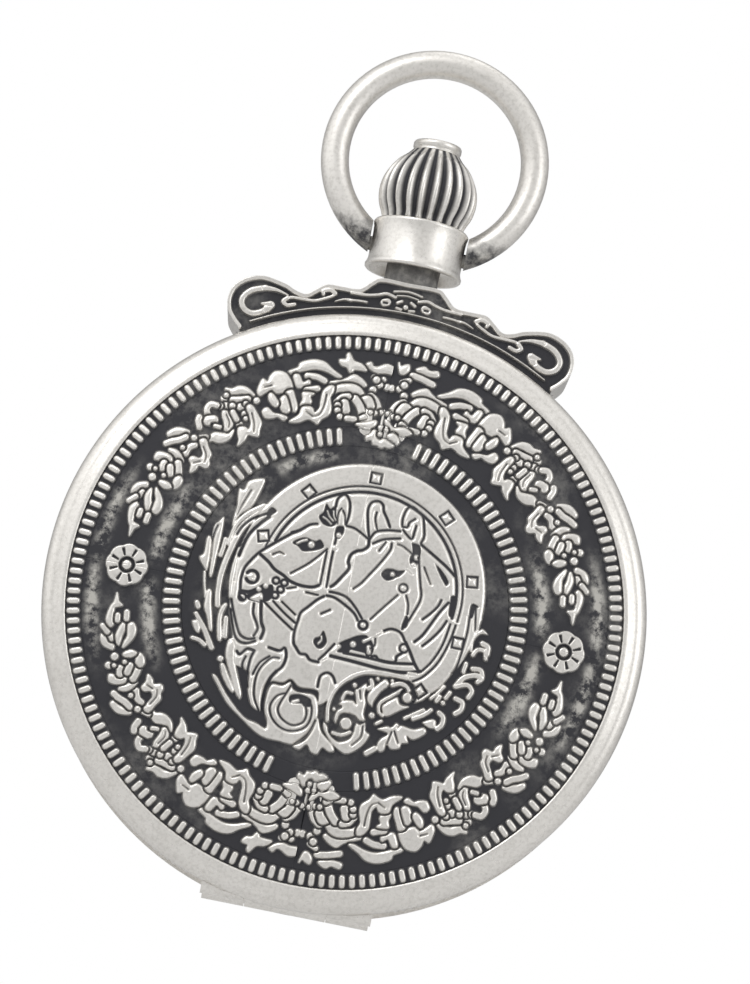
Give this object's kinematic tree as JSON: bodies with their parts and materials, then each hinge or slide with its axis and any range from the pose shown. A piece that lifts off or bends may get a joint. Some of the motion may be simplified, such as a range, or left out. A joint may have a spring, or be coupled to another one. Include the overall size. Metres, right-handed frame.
{
  "type": "pocket watch",
  "caption": "Round hunter pocket watch with hinged embossed front and back lids, swinging bow, onion crown and a geared hand-wound movement behind the dial.",
  "frame": {"origin": "centre of the flat face in the middle of the back lid", "axes": "+X to 3 o'clock, +Z to the crown at 12 o'clock, +Y out of the back lid; the dial looks along -Y"},
  "size_m": [0.05, 0.014, 0.0748],
  "materials": {
    "silver": "worn satin silver",
    "antique_silver": "silver with dark oxidised hollows",
    "glass": "clear",
    "enamel": "white enamel with black numerals",
    "blued_steel": "heat-blued steel",
    "nickel": "striped nickel plating",
    "brass": "satin",
    "ruby": "polished",
    "rubber": "matt",
    "steel": "polished"
  },
  "bodies": {
    "case": {"case_band": "silver", "front_hinge_pin": "silver", "back_hinge_pin": "silver", "shoulder_ornament": "antique_silver", "pendant_neck": "antique_silver", "bow_collar": "silver", "bezel": "silver", "crystal": "glass", "dial": "enamel", "movement_ring": "nickel", "catch_spring": "steel", "lift_spring": "steel", "mainplate": "nickel", "barrel_bridge": "nickel", "train_bridge": "nickel", "balance_cock": "nickel", "pallet_cock": "nickel", "bridge_jewels": "ruby", "bridge_screws": "blued_steel", "crown_wheel_core": "steel", "click_spring": "steel"},
    "front_lid": {"front_cover": "silver"},
    "back_lid": {"back_cover": "silver"},
    "bow": {"bow_ring": "antique_silver"},
    "pusher": {"push_sleeve": "steel"},
    "gasket": {"crown_gasket": "rubber"},
    "crown": {"crown": "antique_silver", "crown_cap": "silver", "winding_stem": "steel"},
    "catch": {"lid_catch": "steel"},
    "winding_pinion": {"winding_pinion": "steel"},
    "sliding_pinion": {"sliding_pinion": "steel"},
    "setting_lever": {"setting_lever": "steel"},
    "yoke": {"yoke": "steel"},
    "crown_wheel": {"crown_wheel": "steel"},
    "ratchet": {"ratchet_wheel": "steel", "ratchet_screw": "blued_steel", "barrel_arbor": "steel"},
    "click": {"click": "steel"},
    "barrel": {"barrel": "brass", "barrel_cover": "brass", "mainspring": "steel"},
    "centre": {"centre_wheel": "brass", "cannon_pinion": "steel", "minute_hand": "blued_steel"},
    "third": {"third_wheel": "brass"},
    "fourth": {"fourth_wheel": "brass", "seconds_hand": "blued_steel"},
    "escape": {"escape_wheel": "steel"},
    "minute_wheel": {"minute_wheel": "brass"},
    "hour": {"hour_wheel": "brass", "hour_hand": "blued_steel"},
    "fork": {"pallet_fork": "steel"},
    "balance": {"balance_wheel": "brass", "hairspring": "steel"}
  },
  "joints": [
    {"name": "front_lid_hinge", "type": "hinge", "parent": "case", "child": "front_lid", "pos_m": [0, -0.0106, -0.0245], "axis": [1, 0, 0], "range_deg": [0, 95]},
    {"name": "back_lid_hinge", "type": "hinge", "parent": "case", "child": "back_lid", "pos_m": [0, -0.0024, -0.0245], "axis": [-1, 0, 0], "range_deg": [0, 95]},
    {"name": "bow_swing", "type": "hinge", "parent": "case", "child": "bow", "pos_m": [0, -0.0064, 0.032], "axis": [1, 0, 0], "range_deg": [-90, 90]},
    {"name": "crown_push", "type": "slide", "parent": "case", "child": "pusher", "axis": [0, 0, 1], "range_m": [-0.0007, 0], "stiffness_N_per_m": 400},
    {"name": "crown_pull", "type": "slide", "parent": "pusher", "child": "gasket", "axis": [0, 0, 1], "range_m": [0, 0.001]},
    {"name": "crown_turn", "type": "hinge", "parent": "gasket", "child": "crown", "pos_m": [0, -0.0064, 0], "axis": [0, 0, 1], "continuous": true},
    {"name": "catch_release", "type": "slide", "parent": "case", "child": "catch", "axis": [0, 0, 1], "range_m": [-0.00035, 0]},
    {"name": "winding_pinion_turn", "type": "hinge", "parent": "case", "child": "winding_pinion", "pos_m": [0, -0.0064, 0], "axis": [0, 0, 1], "continuous": true},
    {"name": "sliding_pinion_shift", "type": "slide", "parent": "crown", "child": "sliding_pinion", "axis": [0, 0, 1], "range_m": [-0.0019, 0]},
    {"name": "setting_lever_pivot", "type": "hinge", "parent": "case", "child": "setting_lever", "pos_m": [0.005, -0.008, 0.0157], "axis": [0, 1, 0], "range_deg": [0, 14]},
    {"name": "yoke_pivot", "type": "hinge", "parent": "case", "child": "yoke", "pos_m": [0.0066, -0.008, 0.01225], "axis": [0, 1, 0], "range_deg": [-10, 0]},
    {"name": "crown_wheel_turn", "type": "hinge", "parent": "case", "child": "crown_wheel", "pos_m": [0, -0.0035, 0.0113], "axis": [0, 1, 0], "continuous": true},
    {"name": "ratchet_turn", "type": "hinge", "parent": "case", "child": "ratchet", "pos_m": [-0.0059, -0.0035, 0.00413], "axis": [0, 1, 0], "continuous": true},
    {"name": "click_pivot", "type": "hinge", "parent": "case", "child": "click", "pos_m": [-0.01324, -0.0034, 0.0061], "axis": [0, 1, 0], "range_deg": [-8, 0], "stiffness_Nm_per_rad": 0.0001},
    {"name": "barrel_turn", "type": "hinge", "parent": "case", "child": "barrel", "pos_m": [-0.0059, -0.0055, 0.00413], "axis": [0, 1, 0], "continuous": true},
    {"name": "hands_turn", "type": "hinge", "parent": "case", "child": "centre", "pos_m": [0, -0.006, 0], "axis": [0, 1, 0], "continuous": true},
    {"name": "third_turn", "type": "hinge", "parent": "case", "child": "third", "pos_m": [0.00424, -0.006, -0.00525], "axis": [0, 1, 0], "continuous": true},
    {"name": "seconds_turn", "type": "hinge", "parent": "case", "child": "fourth", "pos_m": [0, -0.006, -0.0088], "axis": [0, 1, 0], "continuous": true},
    {"name": "escape_turn", "type": "hinge", "parent": "case", "child": "escape", "pos_m": [-0.00414, -0.006, -0.0117], "axis": [0, 1, 0], "continuous": true},
    {"name": "minute_wheel_turn", "type": "hinge", "parent": "case", "child": "minute_wheel", "pos_m": [0.0024, -0.008, 0.00416], "axis": [0, 1, 0], "continuous": true},
    {"name": "hour_turn", "type": "hinge", "parent": "case", "child": "hour", "pos_m": [0, -0.008, 0], "axis": [0, 1, 0], "continuous": true},
    {"name": "fork_rock", "type": "hinge", "parent": "case", "child": "fork", "pos_m": [-0.0065, -0.006, -0.01001], "axis": [0, 1, 0], "range_deg": [-5, 5]},
    {"name": "balance_swing", "type": "hinge", "parent": "case", "child": "balance", "pos_m": [-0.0093, -0.005, -0.008], "axis": [0, 1, 0], "range_deg": [-270, 270], "stiffness_Nm_per_rad": 0.000002}
  ],
  "couplings": [
    {"joint": "catch_release", "follows": "crown_push", "ratio": 0.5},
    {"joint": "winding_pinion_turn", "follows": "crown_turn", "ratio": 1},
    {"joint": "crown_wheel_turn", "follows": "crown_turn", "ratio": -0.75},
    {"joint": "ratchet_turn", "follows": "crown_turn", "ratio": 0.5},
    {"joint": "sliding_pinion_shift", "follows": "crown_pull", "ratio": -1.9},
    {"joint": "setting_lever_pivot", "follows": "crown_pull", "rad_per_m": 238},
    {"joint": "yoke_pivot", "follows": "crown_pull", "rad_per_m": -170},
    {"joint": "escape_turn", "follows": "seconds_turn", "ratio": -10},
    {"joint": "third_turn", "follows": "seconds_turn", "ratio": -0.13333},
    {"joint": "hands_turn", "follows": "seconds_turn", "ratio": 0.016667},
    {"joint": "barrel_turn", "follows": "seconds_turn", "ratio": -0.0025641},
    {"joint": "minute_wheel_turn", "follows": "seconds_turn", "ratio": -0.0055556},
    {"joint": "hour_turn", "follows": "seconds_turn", "ratio": 0.0013889}
  ]
}
